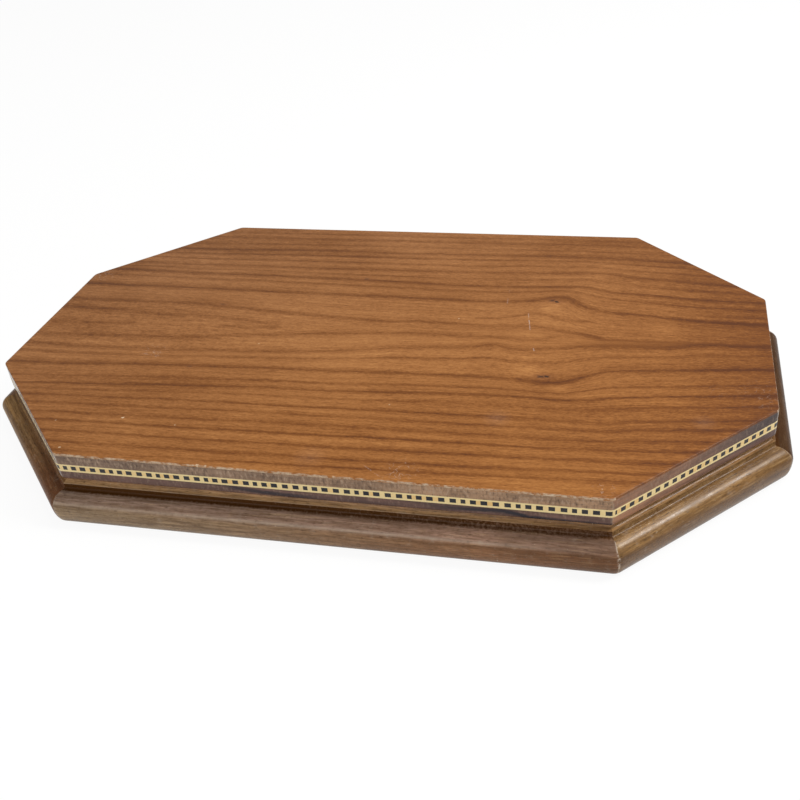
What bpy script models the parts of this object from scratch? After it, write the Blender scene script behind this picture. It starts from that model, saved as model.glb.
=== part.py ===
"""An octagonal wooden offering plate, lying face down with its veneered base uppermost.

A plywood panel drops into a rebate in eight mitred wall rails, and one veneer covers panel and
rails. Each rail carries a chequered inlay in a groove: a pale band with windows, and dark blocks
that stand on the rail and fill them. A tongue under each rail seats it in a moulded rim, whose
mitres are held by loose splines, and felt lines the floor of the dish.
Metres, +Z up. The origin is on the table under the middle of the plate, and the front looks to -Y.
"""

from collections import namedtuple
from math import cos, pi, radians, sin, sqrt, tan

import bmesh
import bpy
from mathutils import Matrix, Vector

# Plan of the base, over the wall faces
BASE_LENGTH = 0.356
BASE_WIDTH = 0.215
CORNER_CUT = 0.0627

# Base and lining
VENEER_THICKNESS = 0.0007
VENEER_EASING = 0.0004
PANEL_THICKNESS = 0.006
FELT_THICKNESS = 0.0015

# Wall rails
WALL_HEIGHT = 0.0125
WALL_THICKNESS = 0.0095
WALL_FOOT_RADIUS = 0.0015
PANEL_SEAT_WIDTH = 0.0045
TONGUE_THICKNESS = 0.003
TONGUE_HEIGHT = 0.003
TONGUE_INSET = 0.0016

# Inlay bands, hung below the top of the wall
BAND_DROP = 0.0046
BAND_HEIGHT = 0.0037
BAND_THICKNESS = 0.0012

# Dark blocks of the chequer
BLOCK_WIDTH = 0.0023
BLOCK_HEIGHT = 0.0018
BLOCK_PITCH = 0.0043
BLOCK_TO_MITRE = 0.0012
BLOCK_ROOT = 0.0003

# Rim moulding, from the wall seat down and out to the nose, and in again to the table
ARRIS_REACH = 0.0002
COVE_RADIUS = 0.0025
FILLET_HEIGHT = 0.0013
QUIRK_RADIUS = 0.0009
OVOLO_REACH = 0.0069
OVOLO_HEIGHT = 0.0055
NOSE_HEIGHT = 0.009
NOSE_DRAW_IN = 0.0035
INNER_EDGE_RADIUS = 0.003
SANDED_CORNER_RADIUS = 0.006

# Loose splines across the rim mitres
SPLINE_LENGTH = 0.012
SPLINE_WIDTH = 0.009
SPLINE_THICKNESS = 0.003

# Fits
GLUE_GAP = 0.0003
INLAY_GAP = 0.0002

# Facets
CORNER_STEPS = 3
SMOOTH_ANGLE = radians(35)

# Heights and reaches that follow from the sizes above
RIM_HEIGHT = NOSE_HEIGHT + OVOLO_HEIGHT + QUIRK_RADIUS + FILLET_HEIGHT + COVE_RADIUS
RIM_REACH = ARRIS_REACH + QUIRK_RADIUS + OVOLO_REACH
WALL_BOTTOM = RIM_HEIGHT + GLUE_GAP
WALL_TOP = WALL_BOTTOM + WALL_HEIGHT
PANEL_BOTTOM = WALL_TOP - PANEL_THICKNESS
BAND_TOP = WALL_TOP - BAND_DROP
BAND_BOTTOM = BAND_TOP - BAND_HEIGHT
BAND_GROOVE_DEPTH = BAND_THICKNESS + INLAY_GAP
TONGUE_INNER = -WALL_THICKNESS + TONGUE_INSET
TONGUE_OUTER = TONGUE_INNER + TONGUE_THICKNESS

# Each of the eight corners turns the wall by an eighth of a circle
CORNER_TURN = pi / 4
MITRE = CORNER_TURN / 2

# A side's own axes: X runs along it, -Y points out of the plate, and the wall face is at Y = 0
Side = namedtuple("Side", "name turn middle half_length")

SIDE_DIRECTIONS = {
    "front": (0, -1),
    "front_right": (1, -1),
    "right": (1, 0),
    "back_right": (1, 1),
    "back": (0, 1),
    "back_left": (-1, 1),
    "left": (-1, 0),
    "front_left": (-1, -1),
}

MATERIALS = {
    "cherry_veneer": ((0.38, 0.16, 0.055), 0.42),
    "walnut_wall": ((0.15, 0.085, 0.06), 0.40),
    "walnut_rim": ((0.17, 0.095, 0.055), 0.36),
    "boxwood_inlay": ((0.78, 0.60, 0.24), 0.45),
    "birch_ply": ((0.62, 0.46, 0.28), 0.60),
    "beech_spline": ((0.55, 0.36, 0.20), 0.60),
    "wine_felt": ((0.22, 0.02, 0.03), 0.95),
}


def list_sides():
    """The eight sides of the octagon, anticlockwise from the front."""
    sides = []
    for index, (name, (east, north)) in enumerate(SIDE_DIRECTIONS.items()):
        cut_share = CORNER_CUT / 2 if east and north else 0.0
        middle = Vector((east * (BASE_LENGTH / 2 - cut_share), north * (BASE_WIDTH / 2 - cut_share)))
        if east and north:
            half_length = CORNER_CUT / sqrt(2)
        elif north:
            half_length = BASE_LENGTH / 2 - CORNER_CUT
        else:
            half_length = BASE_WIDTH / 2 - CORNER_CUT
        sides.append(Side(name, index * CORNER_TURN, middle, half_length))
    return sides


def corner(side, out):
    """The plan point where a side meets the next one, on lines `out` beyond the wall faces."""
    along = side.half_length + out * tan(MITRE)
    return side.middle + Matrix.Rotation(side.turn, 2) @ Vector((along, -out))


def arc(centre_out, centre_up, radius_out, radius_up, first, last, steps):
    """Points (out, up) along an arc of an ellipse, with its angles in degrees from the out axis."""
    points = []
    for step in range(steps + 1):
        angle = radians(first + (last - first) * step / steps)
        points.append((centre_out + radius_out * cos(angle), centre_up + radius_up * sin(angle)))
    return points


def rim_profile():
    """The rim's section: tongue groove, cove, fillet, quirk, ovolo, nose and rounded inner edge."""
    groove_inner = TONGUE_INNER - GLUE_GAP
    groove_outer = TONGUE_OUTER + GLUE_GAP
    groove_floor = WALL_BOTTOM - TONGUE_HEIGHT - GLUE_GAP
    quirk_out = ARRIS_REACH + QUIRK_RADIUS
    quirk_up = NOSE_HEIGHT + OVOLO_HEIGHT + QUIRK_RADIUS
    foot_out = RIM_REACH - NOSE_DRAW_IN
    inner_out = -WALL_THICKNESS + INNER_EDGE_RADIUS
    section = [(-WALL_THICKNESS, RIM_HEIGHT), (groove_inner, RIM_HEIGHT), (groove_inner, groove_floor)]
    section += [(groove_outer, groove_floor), (groove_outer, RIM_HEIGHT)]
    section += arc(ARRIS_REACH, RIM_HEIGHT, COVE_RADIUS, COVE_RADIUS, 180, 270, 5)
    section += arc(quirk_out, quirk_up, QUIRK_RADIUS, QUIRK_RADIUS, 180, 270, 3)
    section += arc(quirk_out, NOSE_HEIGHT, OVOLO_REACH, OVOLO_HEIGHT, 90, 0, 9)[1:]
    section += arc(foot_out, NOSE_HEIGHT, NOSE_DRAW_IN, NOSE_HEIGHT, 0, -90, 7)[1:]
    section += arc(inner_out, INNER_EDGE_RADIUS, INNER_EDGE_RADIUS, INNER_EDGE_RADIUS, 270, 180, 4)
    return section


def wall_profile():
    """The wall rail's section: inlay groove, rounded foot, tongue and the rebate for the panel."""
    groove_floor = -BAND_GROOVE_DEPTH
    groove_top = BAND_TOP + INLAY_GAP
    groove_bottom = BAND_BOTTOM - INLAY_GAP
    seat_out = -WALL_THICKNESS + PANEL_SEAT_WIDTH
    seat_up = PANEL_BOTTOM - GLUE_GAP
    tongue_bottom = WALL_BOTTOM - TONGUE_HEIGHT
    foot_up = WALL_BOTTOM + WALL_FOOT_RADIUS
    section = [(0.0, WALL_TOP), (0.0, groove_top), (groove_floor, groove_top)]
    section += [(groove_floor, groove_bottom), (0.0, groove_bottom)]
    section += arc(-WALL_FOOT_RADIUS, foot_up, WALL_FOOT_RADIUS, WALL_FOOT_RADIUS, 0, -90, 4)
    section += [(TONGUE_OUTER, WALL_BOTTOM), (TONGUE_OUTER, tongue_bottom)]
    section += [(TONGUE_INNER, tongue_bottom), (TONGUE_INNER, WALL_BOTTOM)]
    section += [(-WALL_THICKNESS, WALL_BOTTOM), (-WALL_THICKNESS, seat_up)]
    section += [(seat_out, seat_up), (seat_out, WALL_TOP)]
    return section


def band_profile():
    """The inlay band's section, flush with the wall face."""
    back = -BAND_THICKNESS
    return [(0.0, BAND_TOP), (back, BAND_TOP), (back, BAND_BOTTOM), (0.0, BAND_BOTTOM)]


def saw_mitre(bm, half_length, end):
    """Saw one end of a bar off at its mitre, half a glue gap short of the corner."""
    normal = Vector((end * cos(MITRE), sin(MITRE), 0.0))
    point = Vector((end * half_length, 0.0, 0.0)) - normal * GLUE_GAP / 2
    geometry = bm.verts[:] + bm.edges[:] + bm.faces[:]
    cut = bmesh.ops.bisect_plane(
        bm, geom=geometry, dist=1e-7, plane_co=point, plane_no=normal, clear_outer=True)
    rim_edges = [item for item in cut["geom_cut"] if isinstance(item, bmesh.types.BMEdge)]
    bmesh.ops.edgeloop_fill(bm, edges=rim_edges)


def mitred_bar(profile, half_length, sanded_radius=0.0):
    """Extrude a section along a side and saw both ends to the mitre.

    A sanded radius rounds the bar's outermost line in plan at each corner. Lines further in turn
    about the same axis, so the rounding fades to a sharp mitre one radius inside that line.
    """
    reach = max(out for out, _ in profile)
    steps = CORNER_STEPS if sanded_radius else 0
    angles = [MITRE * step / CORNER_STEPS for step in range(steps + 1)]
    stations = [(-1, angle) for angle in reversed(angles)] + [(1, angle) for angle in angles]
    bm = bmesh.new()
    face = None
    for end, angle in stations:
        section = []
        for out, up in profile:
            radius = max(0.0, sanded_radius - (reach - out))
            along = half_length + (out - radius) * tan(MITRE) + radius * sin(angle)
            section.append(Vector((end * along, radius * (1 - cos(angle)) - out, up)))
        if face is None:
            face = bm.faces.new([bm.verts.new(point) for point in section])
            continue
        extruded = bmesh.ops.extrude_face_region(bm, geom=[face])["geom"]
        bm.faces.remove(face)
        face = next(item for item in extruded if isinstance(item, bmesh.types.BMFace))
        for vertex, point in zip(face.verts, section):
            vertex.co = point
    bmesh.ops.remove_doubles(bm, verts=bm.verts[:], dist=1e-6)
    for end in (-1, 1):
        saw_mitre(bm, half_length, end)
    bmesh.ops.recalc_face_normals(bm, faces=bm.faces[:])
    return bm


def octagon_board(sides, out, bottom, thickness, easing=0.0):
    """A flat octagonal board whose edges lie `out` beyond the wall faces."""
    bm = bmesh.new()
    face = bm.faces.new([bm.verts.new((*corner(side, out), bottom)) for side in sides])
    extruded = bmesh.ops.extrude_face_region(bm, geom=[face])["geom"]
    raised = [item for item in extruded if isinstance(item, bmesh.types.BMVert)]
    bmesh.ops.translate(bm, vec=(0.0, 0.0, thickness), verts=raised)
    if easing:
        top_edges = [edge for edge in bm.edges if all(vertex in raised for vertex in edge.verts)]
        bmesh.ops.bevel(bm, geom=top_edges, offset=easing, segments=2, affect="EDGES", profile=0.5)
    bmesh.ops.recalc_face_normals(bm, faces=bm.faces[:])
    return bm


def chequer_row(half_length, growth, deepest, outermost):
    """A row of blocks along the middle of an inlay band, each grown by `growth` on its four edges."""
    bm = bmesh.new()
    run = 2 * (half_length - BLOCK_TO_MITRE) - BLOCK_WIDTH
    last = int(run / BLOCK_PITCH)
    size = Vector((BLOCK_WIDTH + 2 * growth, outermost - deepest, BLOCK_HEIGHT + 2 * growth))
    for index in range(last + 1):
        along = (index - last / 2) * BLOCK_PITCH
        centre = Vector((along, -(outermost + deepest) / 2, (BAND_TOP + BAND_BOTTOM) / 2))
        transform = Matrix.Translation(centre) @ Matrix.Diagonal((*size, 1.0))
        bmesh.ops.create_cube(bm, size=1.0, matrix=transform)
    return bm


def spline_block(growth):
    """A rim spline, or the slot for it when grown by a glue gap on every face."""
    bm = bmesh.new()
    bmesh.ops.create_cube(bm, size=1.0)
    size = Vector((SPLINE_LENGTH, SPLINE_WIDTH, SPLINE_THICKNESS)) + Vector((2 * growth,) * 3)
    bmesh.ops.scale(bm, vec=size, verts=bm.verts[:])
    return bm


def new_material(name):
    """A Principled material with one colour and roughness."""
    colour, roughness = MATERIALS[name]
    material = bpy.data.materials.new(name)
    material.use_nodes = True
    shader = material.node_tree.nodes["Principled BSDF"]
    shader.inputs["Base Color"].default_value = (*colour, 1.0)
    shader.inputs["Roughness"].default_value = roughness
    shader.inputs["Metallic"].default_value = 0.0
    material.diffuse_color = (*colour, 1.0)
    return material


def new_mesh(name, bm, smooth=False):
    """Turn a finished bmesh into a mesh, shaded smooth over its round stretches if asked."""
    mesh = bpy.data.meshes.new(name)
    bm.to_mesh(mesh)
    bm.free()
    if smooth:
        mesh.shade_smooth()
        mesh.set_sharp_from_angle(angle=SMOOTH_ANGLE)
    return mesh


def place(name, mesh, parent, location=(0.0, 0.0, 0.0), turn=0.0):
    """Put a mesh into the scene under the plate's empty."""
    thing = bpy.data.objects.new(name, mesh)
    thing.location = location
    thing.rotation_euler.z = turn
    thing.parent = parent
    bpy.context.scene.collection.objects.link(thing)
    return thing


def place_bars(kind, profile, material, sides, plate, sanded_radius=0.0):
    """One mitred bar for each side; sides of one length share a mesh."""
    meshes = {}
    bars = []
    for side in sides:
        length_key = round(side.half_length, 7)
        if length_key not in meshes:
            bm = mitred_bar(profile, side.half_length, sanded_radius)
            meshes[length_key] = new_mesh(kind, bm, smooth=True)
            meshes[length_key].materials.append(material)
        middle = (*side.middle, 0.0)
        bars.append(place(f"{kind}_{side.name}", meshes[length_key], plate, middle, side.turn))
    return bars


def place_boards(sides, plate):
    """The plywood panel, the veneer over it and the felt under it."""
    panel_out = -WALL_THICKNESS + PANEL_SEAT_WIDTH - GLUE_GAP
    panel = octagon_board(sides, panel_out, PANEL_BOTTOM, PANEL_THICKNESS)
    veneer = octagon_board(sides, 0.0, WALL_TOP + GLUE_GAP, VENEER_THICKNESS, VENEER_EASING)
    felt_out = -WALL_THICKNESS - GLUE_GAP
    felt = octagon_board(sides, felt_out, PANEL_BOTTOM - GLUE_GAP - FELT_THICKNESS, FELT_THICKNESS)
    boards = {
        "base_panel": (panel, "birch_ply"),
        "base_veneer": (veneer, "cherry_veneer"),
        "felt_lining": (felt, "wine_felt"),
    }
    for name, (bm, material) in boards.items():
        mesh = new_mesh(name, bm)
        mesh.materials.append(new_material(material))
        place(name, mesh, plate)


def shape_by(thing, tool, operation):
    """Join a tool to a piece or cut it out, and keep the tool itself out of the model."""
    tool.hide_render = True
    tool.display_type = "WIRE"
    change = thing.modifiers.new(tool.name, "BOOLEAN")
    change.operation = operation
    change.solver = "EXACT"
    change.object = tool


def place_chequer(sides, rails, bands, plate):
    """Raise the dark blocks on each rail's groove floor, and cut windows for them in its band."""
    block_root = -BAND_GROOVE_DEPTH - BLOCK_ROOT
    for side, rail, band in zip(sides, rails, bands):
        middle = (*side.middle, 0.0)
        blocks = new_mesh("chequer_blocks", chequer_row(side.half_length, 0.0, block_root, 0.0))
        through = chequer_row(side.half_length, INLAY_GAP, -2 * BAND_THICKNESS, BAND_THICKNESS)
        windows = new_mesh("chequer_windows", through)
        shape_by(rail, place(f"chequer_blocks_{side.name}", blocks, plate, middle, side.turn), "UNION")
        shape_by(band, place(f"chequer_windows_{side.name}", windows, plate, middle, side.turn), "DIFFERENCE")


def place_splines(sides, rims, plate):
    """A loose spline across each rim mitre, in a slot cut into both mouldings."""
    spline_mesh = new_mesh("rim_spline", spline_block(0.0))
    spline_mesh.materials.append(new_material("beech_spline"))
    slot_mesh = new_mesh("spline_slot", spline_block(GLUE_GAP))
    middle_out = (RIM_REACH - WALL_THICKNESS) / 2
    for index, side in enumerate(sides):
        following = (index + 1) % len(sides)
        joint = f"{side.name}_to_{sides[following].name}"
        location = (*corner(side, middle_out), NOSE_HEIGHT)
        place(f"rim_spline_{joint}", spline_mesh, plate, location, side.turn + MITRE)
        slot = place(f"spline_slot_{joint}", slot_mesh, plate, location, side.turn + MITRE)
        for rim in (rims[index], rims[following]):
            shape_by(rim, slot, "DIFFERENCE")


def main():
    for thing in list(bpy.data.objects):
        bpy.data.objects.remove(thing)
    plate = bpy.data.objects.new("offering_plate", None)
    bpy.context.scene.collection.objects.link(plate)
    sides = list_sides()
    place_boards(sides, plate)
    rails = place_bars("wall_rail", wall_profile(), new_material("walnut_wall"), sides, plate)
    bands = place_bars("inlay_band", band_profile(), new_material("boxwood_inlay"), sides, plate)
    place_chequer(sides, rails, bands, plate)
    rims = place_bars(
        "rim_moulding", rim_profile(), new_material("walnut_rim"), sides, plate, SANDED_CORNER_RADIUS)
    place_splines(sides, rims, plate)


main()
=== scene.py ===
import random
from collections import namedtuple
from itertools import cycle
from math import cos, hypot, pi, radians, sin, sqrt, tan

import bmesh
import bpy
import numpy as np
from mathutils import Matrix, Vector, kdtree, noise


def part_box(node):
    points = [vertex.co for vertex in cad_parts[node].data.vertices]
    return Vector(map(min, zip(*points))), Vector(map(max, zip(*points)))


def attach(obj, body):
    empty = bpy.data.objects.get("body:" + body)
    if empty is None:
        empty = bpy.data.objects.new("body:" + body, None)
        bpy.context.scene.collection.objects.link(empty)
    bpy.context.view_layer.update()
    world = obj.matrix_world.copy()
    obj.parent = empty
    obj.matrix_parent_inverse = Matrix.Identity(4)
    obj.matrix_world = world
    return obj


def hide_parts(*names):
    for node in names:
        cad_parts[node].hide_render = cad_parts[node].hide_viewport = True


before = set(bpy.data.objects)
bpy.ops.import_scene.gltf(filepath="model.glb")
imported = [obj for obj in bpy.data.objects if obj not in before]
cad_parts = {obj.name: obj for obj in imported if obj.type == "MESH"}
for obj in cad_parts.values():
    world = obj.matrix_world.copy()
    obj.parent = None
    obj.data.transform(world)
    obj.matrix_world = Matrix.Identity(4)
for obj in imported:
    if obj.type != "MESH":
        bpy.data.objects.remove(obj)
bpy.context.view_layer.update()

MM = 0.001

# Plan of the base and heights of its layers, read from the frame
VENEER_LOW, VENEER_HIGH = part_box("base_veneer")
RIM_LOW, RIM_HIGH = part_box("rim_moulding_front")
RAIL_LOW, RAIL_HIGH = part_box("wall_rail_front")
BAND_LOW, BAND_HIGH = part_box("inlay_band_front")
FELT_LOW, FELT_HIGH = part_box("felt_lining")
PANEL_LOW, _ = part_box("base_panel")
HALF_LENGTH = VENEER_HIGH.x
HALF_WIDTH = VENEER_HIGH.y
SAME_PLACE = 0.01 * MM
FRONT_EDGE = [
    vertex.co.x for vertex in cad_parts["base_veneer"].data.vertices
    if vertex.co.z < VENEER_LOW.z + SAME_PLACE and vertex.co.y < VENEER_LOW.y + SAME_PLACE]
CORNER_CUT = HALF_LENGTH - max(FRONT_EDGE)
TOP = VENEER_HIGH.z
WALL_TOP = RAIL_HIGH.z
WALL_THICKNESS = RAIL_HIGH.y - RAIL_LOW.y
RIM_TOP = RIM_HIGH.z
RIM_REACH = -HALF_WIDTH - RIM_LOW.y
BAND_DEPTH = BAND_HIGH.y - BAND_LOW.y

# Sections, within half a millimetre of the solids
VENEER_EASING = 0.45 * MM
FELT_EASING = 0.5 * MM
EASING_STEPS = 4
WALL_FOOT_RADIUS = 1.5 * MM
COVE_RADIUS = 2.1 * MM
ARRIS_REACH = 0.2 * MM
ARRIS_UP = RIM_TOP - COVE_RADIUS
FILLET_HEIGHT = 1.7 * MM
QUIRK_RADIUS = 0.9 * MM
OVOLO_HEIGHT = 5.5 * MM
OVOLO_REACH = RIM_REACH - ARRIS_REACH - QUIRK_RADIUS
NOSE_DRAW_IN = 3.5 * MM
NOSE_HEIGHT = ARRIS_UP - FILLET_HEIGHT - QUIRK_RADIUS - OVOLO_HEIGHT
INNER_EDGE_RADIUS = 3.0 * MM

# Corners sanded round in plan, and the steps that each half of one takes
RIM_CORNER_RADIUS = 6.0 * MM
BASE_CORNER_RADIUS = 3.5 * MM
CORNER_STEPS = 5

# How far apart the points of each mesh are
TOP_CELL = (3.0 * MM, 0.45 * MM)
FELT_CELL = (3.0 * MM, 3.0 * MM)
WALL_SPACING = 3.0 * MM
RIM_SPACING = 4.0 * MM

# How near a point counts as on a cut and on an outline, and the turn from which an edge stays sharp
CUT_TOLERANCE = 0.001 * MM
EDGE_TOLERANCE = 0.005 * MM
SHARP_ANGLE = radians(32)

# How far apart the boards lie in the grain, in mm along it and aside, so that no two look alike
BOARD_STEP_ALONG = 300.0
BOARD_STEP_ASIDE = 37.0

# Inlay: two pale lines with a chequer between them, whose pale squares are left out where too thin
UPPER_LINE_HEIGHT = 0.75 * MM
LOWER_LINE_HEIGHT = 0.9 * MM
BLOCK_WIDTH = 2.35 * MM
BLOCK_PITCH = 4.36 * MM
BLOCK_JITTER = 0.06 * MM
THINNEST_SQUARE = 0.2 * MM

# The front chequer was cut from a stick whose five dark laminations differ: (width, pitch) of each
FRONT_BLOCKS = ((2.55, 4.35), (1.9, 3.6), (2.35, 4.1), (2.65, 4.75), (2.5, 4.5))
FRONT_FIRST_BLOCK = -117.15 * MM

# The right-hand stick beside it begins with a sliver, this far from its left mitre
SLIVER_START = 1.2 * MM
SLIVER_END = 2.1 * MM

# How far inlay goes from its first colour to its second: in the lines, at least in the pale squares and at
# most in the dark blocks
LINE_TINT = 0.1
LEAST_PALE_TINT = 0.15
MOST_DARK_TINT = 0.6

# How deep the felt's face is matted, how many tufts there are to a mm, the plane of the noise that makes
# them, and how far down a point still belongs to the face
MATTING_DEPTH = 0.12 * MM
MATTING_SCALE = 0.12
MATTING_PLANE = 4.0
FACE_DEPTH = 0.1 * MM

CORNER_TURN = pi / 4
MITRE = CORNER_TURN / 2

Side = namedtuple("Side", "name turn middle half_length")
Facet = namedtuple("Facet", "normal reach")

SIDE_DIRECTIONS = {
    "front": (0, -1), "front_right": (1, -1), "right": (1, 0), "back_right": (1, 1),
    "back": (0, 1), "back_left": (-1, 1), "left": (-1, 0), "front_left": (-1, -1)}

# Growth lines of the veneer: how dark and how wide each is, and the points in mm that it passes on the top
GROWTH_LINES = {
    "beyond": (0.0, 1.0, ((-178, 108), (178, 108))),
    "far": (0.8, 1.1, ((-178, 78), (-120, 79), (-60, 80.8), (0, 80.8), (60, 82), (100, 82), (178, 76))),
    "far_second": (0.6, 1.2, (
        (-178, 61), (-120, 60.4), (0, 61), (40, 62), (80, 64.2), (98, 65), (120, 61), (178, 56))),
    "far_third": (0.9, 1.0, (
        (-178, 52.3), (-120, 51), (-40, 49.6), (40, 47.5), (80, 49.4), (93, 50), (103, 46.8), (120, 44.6),
        (143, 42.5), (178, 40.8))),
    "over_far_knot": (1.0, 1.1, (
        (-178, 35), (-120, 34.2), (-40, 33.2), (0, 33.2), (40, 31.8), (57, 32.8), (69, 35.4), (79, 38.4),
        (84, 38), (88, 34.5), (95, 29.4), (104, 26.6), (120, 25), (143, 22), (178, 20.3))),
    "under_far_knot": (0.75, 0.75, (
        (42, 15.9), (54, 17.1), (62, 19.5), (67, 21.8), (73, 22.6), (77, 21.4), (82, 19), (87, 17.8),
        (98, 17))),
    "upper_flame": (0.75, 1.5, (
        (-178, 17.5), (-100, 17.8), (-80, 15.6), (-40, 11.5), (0, 8.9), (14, 10.4), (40, 8.9), (70, 9.8),
        (91, 6), (103, 2.6))),
    "inner_flame": (0.6, 1.3, (
        (-178, 9.6), (-142, 8.5), (-120, 6), (-107, 7.5), (-92, 6.4), (-64, 2.5), (-54, 0.8), (-62, -1.2),
        (-82, -2))),
    "middle": (0.65, 1.2, (
        (-178, -17), (-120, -14.9), (-98, -14.2), (-80, -11.1), (-63, -8.9), (-40, -6), (0, -1.8),
        (14, -0.4), (50, -0.8), (75, -0.2), (83, 2.4))),
    "lower_flame": (0.75, 1.4, (
        (-178, -26), (-120, -26.4), (-80, -24.6), (-40, -21.5), (-20, -19.4), (0, -15), (14, -12.8),
        (40, -10.4), (54, -7.4), (64, -9.8), (80, -8.4), (103, -4.2), (137, -1.8), (147, 1.2),
        (160, 1.6), (178, 2.5))),
    "flame_tip": (0.5, 1.0, ((105, 1.6), (125, 1.9), (140, 1.5), (147, 1.2))),
    "under_near_knot": (1.0, 1.0, (
        (-178, -42.6), (-140, -41.6), (-120, -39.6), (-80, -37.9), (0, -34.9), (50, -33.6), (70, -34.2),
        (80, -35.4), (90, -33.6), (98, -29.2), (110, -23.8), (137, -20.8), (178, -15.8))),
    "near_third": (1.0, 0.75, (
        (-178, -60.5), (-120, -56.4), (-80, -53.5), (0, -50.4), (57, -46.8), (80, -47.2), (93, -47.9),
        (111, -43.9), (137, -40.4), (178, -35))),
    "near_second": (0.75, 0.75, (
        (-178, -69), (-120, -66.5), (0, -63.5), (80, -62), (109, -61.8), (120, -59.4), (178, -52.5))),
    "near": (1.0, 0.7, ((-178, -86), (-80, -84.2), (0, -82.2), (80, -80.4), (120, -78.9), (178, -74))),
    "nearest": (0.8, 0.7, ((-178, -106), (-80, -104.2), (0, -102.5), (80, -99.4), (178, -94))),
    "nearer": (0.0, 1.0, ((-178, -126), (178, -114))),
    "streak": (0.5, 1.0, ((-157, -5.2), (-143, -4), (-130, -2.8))),
}

# Lines that run between two of those, from end to end: at what share of the way, and how dark
LINES_BETWEEN = (
    ("beyond", "far", 0.25, 0.4),
    ("beyond", "far", 0.47, 0.45),
    ("beyond", "far", 0.74, 0.5),
    ("far", "far_second", 0.29, 0.75),
    ("far", "far_second", 0.62, 0.6),
    ("far_second", "far_third", 0.5, 0.5),
    ("far_third", "over_far_knot", 0.37, 0.6),
    ("lower_flame", "under_near_knot", 0.42, 0.6),
    ("under_near_knot", "near_third", 0.62, 0.65),
    ("near_third", "near_second", 0.46, 0.45),
    ("near_second", "near", 0.31, 0.75),
    ("near_second", "near", 0.67, 0.75),
    ("near", "nearest", 0.36, 0.95),
    ("near", "nearest", 0.73, 0.8),
)
WIDTH_BETWEEN = 0.75
LINE_END = 178

# The lines that lead the grain across the whole top, from the near edge to the far one
FLOW_LINES = (
    "nearer", "nearest", "near", "near_second", "near_third", "under_near_knot", "lower_flame", "upper_flame",
    "over_far_knot", "far_third", "far_second", "far", "beyond")

# How dark a growth line is at each share of its reach in mm, and how much of the light it takes
LINE_FALLOFF = ((0.0, 1.0), (0.1, 0.85), (0.2, 0.56), (0.32, 0.32), (0.48, 0.15), (0.7, 0.05), (1.0, 0.0))
LINE_REACH = 5.0
LINE_DARKENING = 0.34

# How light the wood is from the left end of the top to the right, and how much that changes from near to far
LENGTHWISE_LIGHT = (
    (0.0, 0.43), (0.2, 0.48), (0.5, 0.54), (0.72, 0.52), (0.87, 0.43), (0.95, 0.32), (1.0, 0.22))
CROSSWISE_LIGHT = (
    (0.0, 0.46), (0.1, 0.46), (0.22, 0.43), (0.36, 0.52), (0.6, 0.48), (0.8, 0.45), (1.0, 0.38))

# The colours of the cherry from its darkest to its lightest
CHERRY = (
    (0.0, (0.086, 0.024, 0.003)), (0.25, (0.168, 0.058, 0.010)), (0.5, (0.280, 0.116, 0.036)),
    (0.75, (0.395, 0.183, 0.067)), (1.0, (0.500, 0.248, 0.100)))

# Marks on the top, in mm: the dark spots of knots as (x, y, radius, darkness)
KNOT_NARROWING = 0.6
PIN_KNOTS = (
    (77.0, 35.6, 0.9, 0.95), (79.2, 34.5, 0.85, 0.9), (79.3, -31.0, 0.9, 1.0), (81.6, -30.6, 0.85, 0.95),
    (-22.5, 50.4, 0.8, 0.5), (-84.0, -38.6, 0.6, 0.45), (-91.0, 18.4, 0.7, 0.4))

# The two knots that bend the growth lines darken them this far out
BENDING_KNOTS = ((82, 36), (86, -32))
KNOT_REACH = 20.0
KNOT_DARKENING = 0.5

# Bright wood beside the knots as (x, y, radius, lift)
BRIGHT_WOOD = (
    (73.0, -26.5, 8.0, 0.16), (88.0, -38.5, 7.0, 0.14), (77.0, 28.0, 8.0, 0.12), (70.0, 4.0, 9.0, 0.08),
    (131.0, 13.0, 12.0, 0.10), (98.0, 64.0, 10.0, 0.08))

# Specks of lost finish as (x, y, radius, opacity)
BARE_SPOTS = (
    (-96.9, -80.4, 0.75, 0.8), (-71.2, -82.8, 0.5, 0.45), (34.0, 14.6, 0.5, 0.4), (-126.7, -85.3, 0.5, 0.5),
    (17.5, -58.2, 0.55, 0.45), (-114.6, -103.0, 0.6, 0.6), (-58.0, -16.5, 0.5, 0.35),
    (-50.2, -107.3, 0.7, 0.6), (-46.8, -107.4, 0.5, 0.4), (-11.3, -107.4, 0.6, 0.5), (7.2, -107.4, 0.5, 0.35))

# Scuffed places as (x, y, radius, opacity), with pale curling marks
SCUFFS = (
    (173.5, -36.0, 14.0, 0.16), (155.0, -34.5, 6.0, 0.16), (33.0, -101.5, 9.0, 0.4),
    (112.0, -103.0, 6.0, 0.35), (-108.0, -28.0, 8.0, 0.3), (-172.0, 44.0, 8.0, 0.3))

# Hazy smudges as (x, y, radius, opacity)
SMUDGES = ((65.0, -62.9, 7.0, 0.07), (148.1, -57.2, 6.0, 0.06), (-6.0, -97.0, 8.0, 0.05))

# Scratches as (start, end, opacity), and how far each tapers off
SCRATCHES = (
    ((66.8, 22.5), (69.6, 7.0), 0.5), ((73.0, -8.0), (74.0, -11.5), 0.5), ((54.4, 44.5), (54.6, 42.0), 0.35),
    ((54.9, 36.0), (55.2, 29.0), 0.25), ((-112.0, -30.2), (-104.0, -32.0), 0.35),
    ((17.0, -99.0), (27.0, -106.5), 0.2))
SCRATCH_TAPER = 0.4

# How worn the top edge is on each side, below zero where a dark line of painted shade runs along it instead,
# and how far in that reaches
EDGE_WEAR_AND_SHADE = {"front": 0.85, "front_right": -0.6, "right": 0.5}
EDGE_WEAR_ELSEWHERE = 0.25
CORNER_WEAR = 0.7
EDGE_WEAR_AND_SHADE_REACH = 0.5 * MM
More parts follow.
